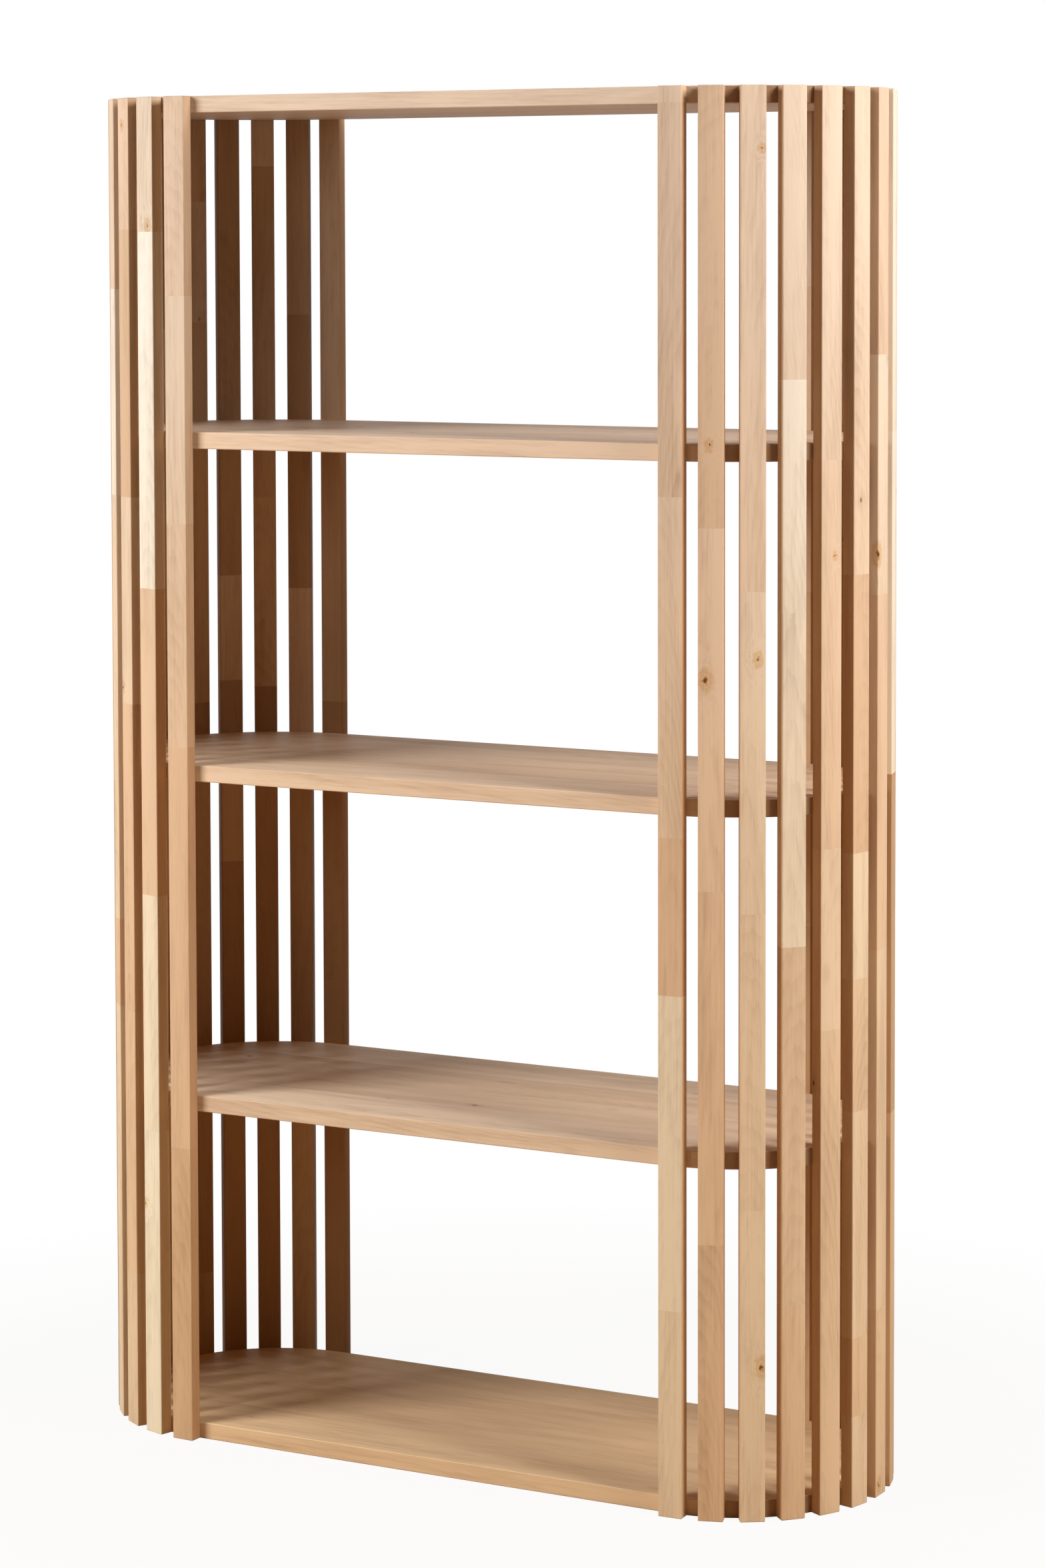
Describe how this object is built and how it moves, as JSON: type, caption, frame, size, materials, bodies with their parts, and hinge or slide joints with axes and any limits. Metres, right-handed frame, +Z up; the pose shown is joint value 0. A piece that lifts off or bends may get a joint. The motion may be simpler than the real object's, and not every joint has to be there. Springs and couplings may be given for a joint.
{
  "type": "slatted bookcase",
  "caption": "Floor-standing oak bookcase: stadium-shaped shelves, open at front and back, carried by vertical slats that fan round each half-round end.",
  "frame": {"origin": "on the floor, below the middle of the shelves", "axes": "+X along the shelves to the right as seen from the front, +Y to the back, +Z up"},
  "size_m": [1.125, 0.421, 1.8],
  "materials": {
    "oak_slat": "matt oiled oak staves",
    "oak_board": "matt oiled edge-glued oak",
    "beech_tenon": "bare planed beech"
  },
  "bodies": {
    "root": {"bottom_shelf": "oak_board", "bottom_shelf_tenons": "beech_tenon", "lower_shelf": "oak_board", "lower_shelf_tenons": "beech_tenon", "middle_shelf": "oak_board", "middle_shelf_tenons": "beech_tenon", "upper_shelf": "oak_board", "upper_shelf_tenons": "beech_tenon", "top_shelf": "oak_board", "top_shelf_tenons": "beech_tenon", "right_slat_01": "oak_slat", "right_slat_02": "oak_slat", "right_slat_03": "oak_slat", "right_slat_04": "oak_slat", "right_slat_05": "oak_slat", "right_slat_06": "oak_slat", "right_slat_07": "oak_slat", "right_slat_08": "oak_slat", "right_slat_09": "oak_slat", "right_slat_10": "oak_slat", "right_slat_11": "oak_slat", "right_slat_12": "oak_slat", "right_slat_13": "oak_slat", "left_slat_01": "oak_slat", "left_slat_02": "oak_slat", "left_slat_03": "oak_slat", "left_slat_04": "oak_slat", "left_slat_05": "oak_slat", "left_slat_06": "oak_slat", "left_slat_07": "oak_slat", "left_slat_08": "oak_slat", "left_slat_09": "oak_slat", "left_slat_10": "oak_slat", "left_slat_11": "oak_slat", "left_slat_12": "oak_slat", "left_slat_13": "oak_slat"}
  },
  "joints": []
}
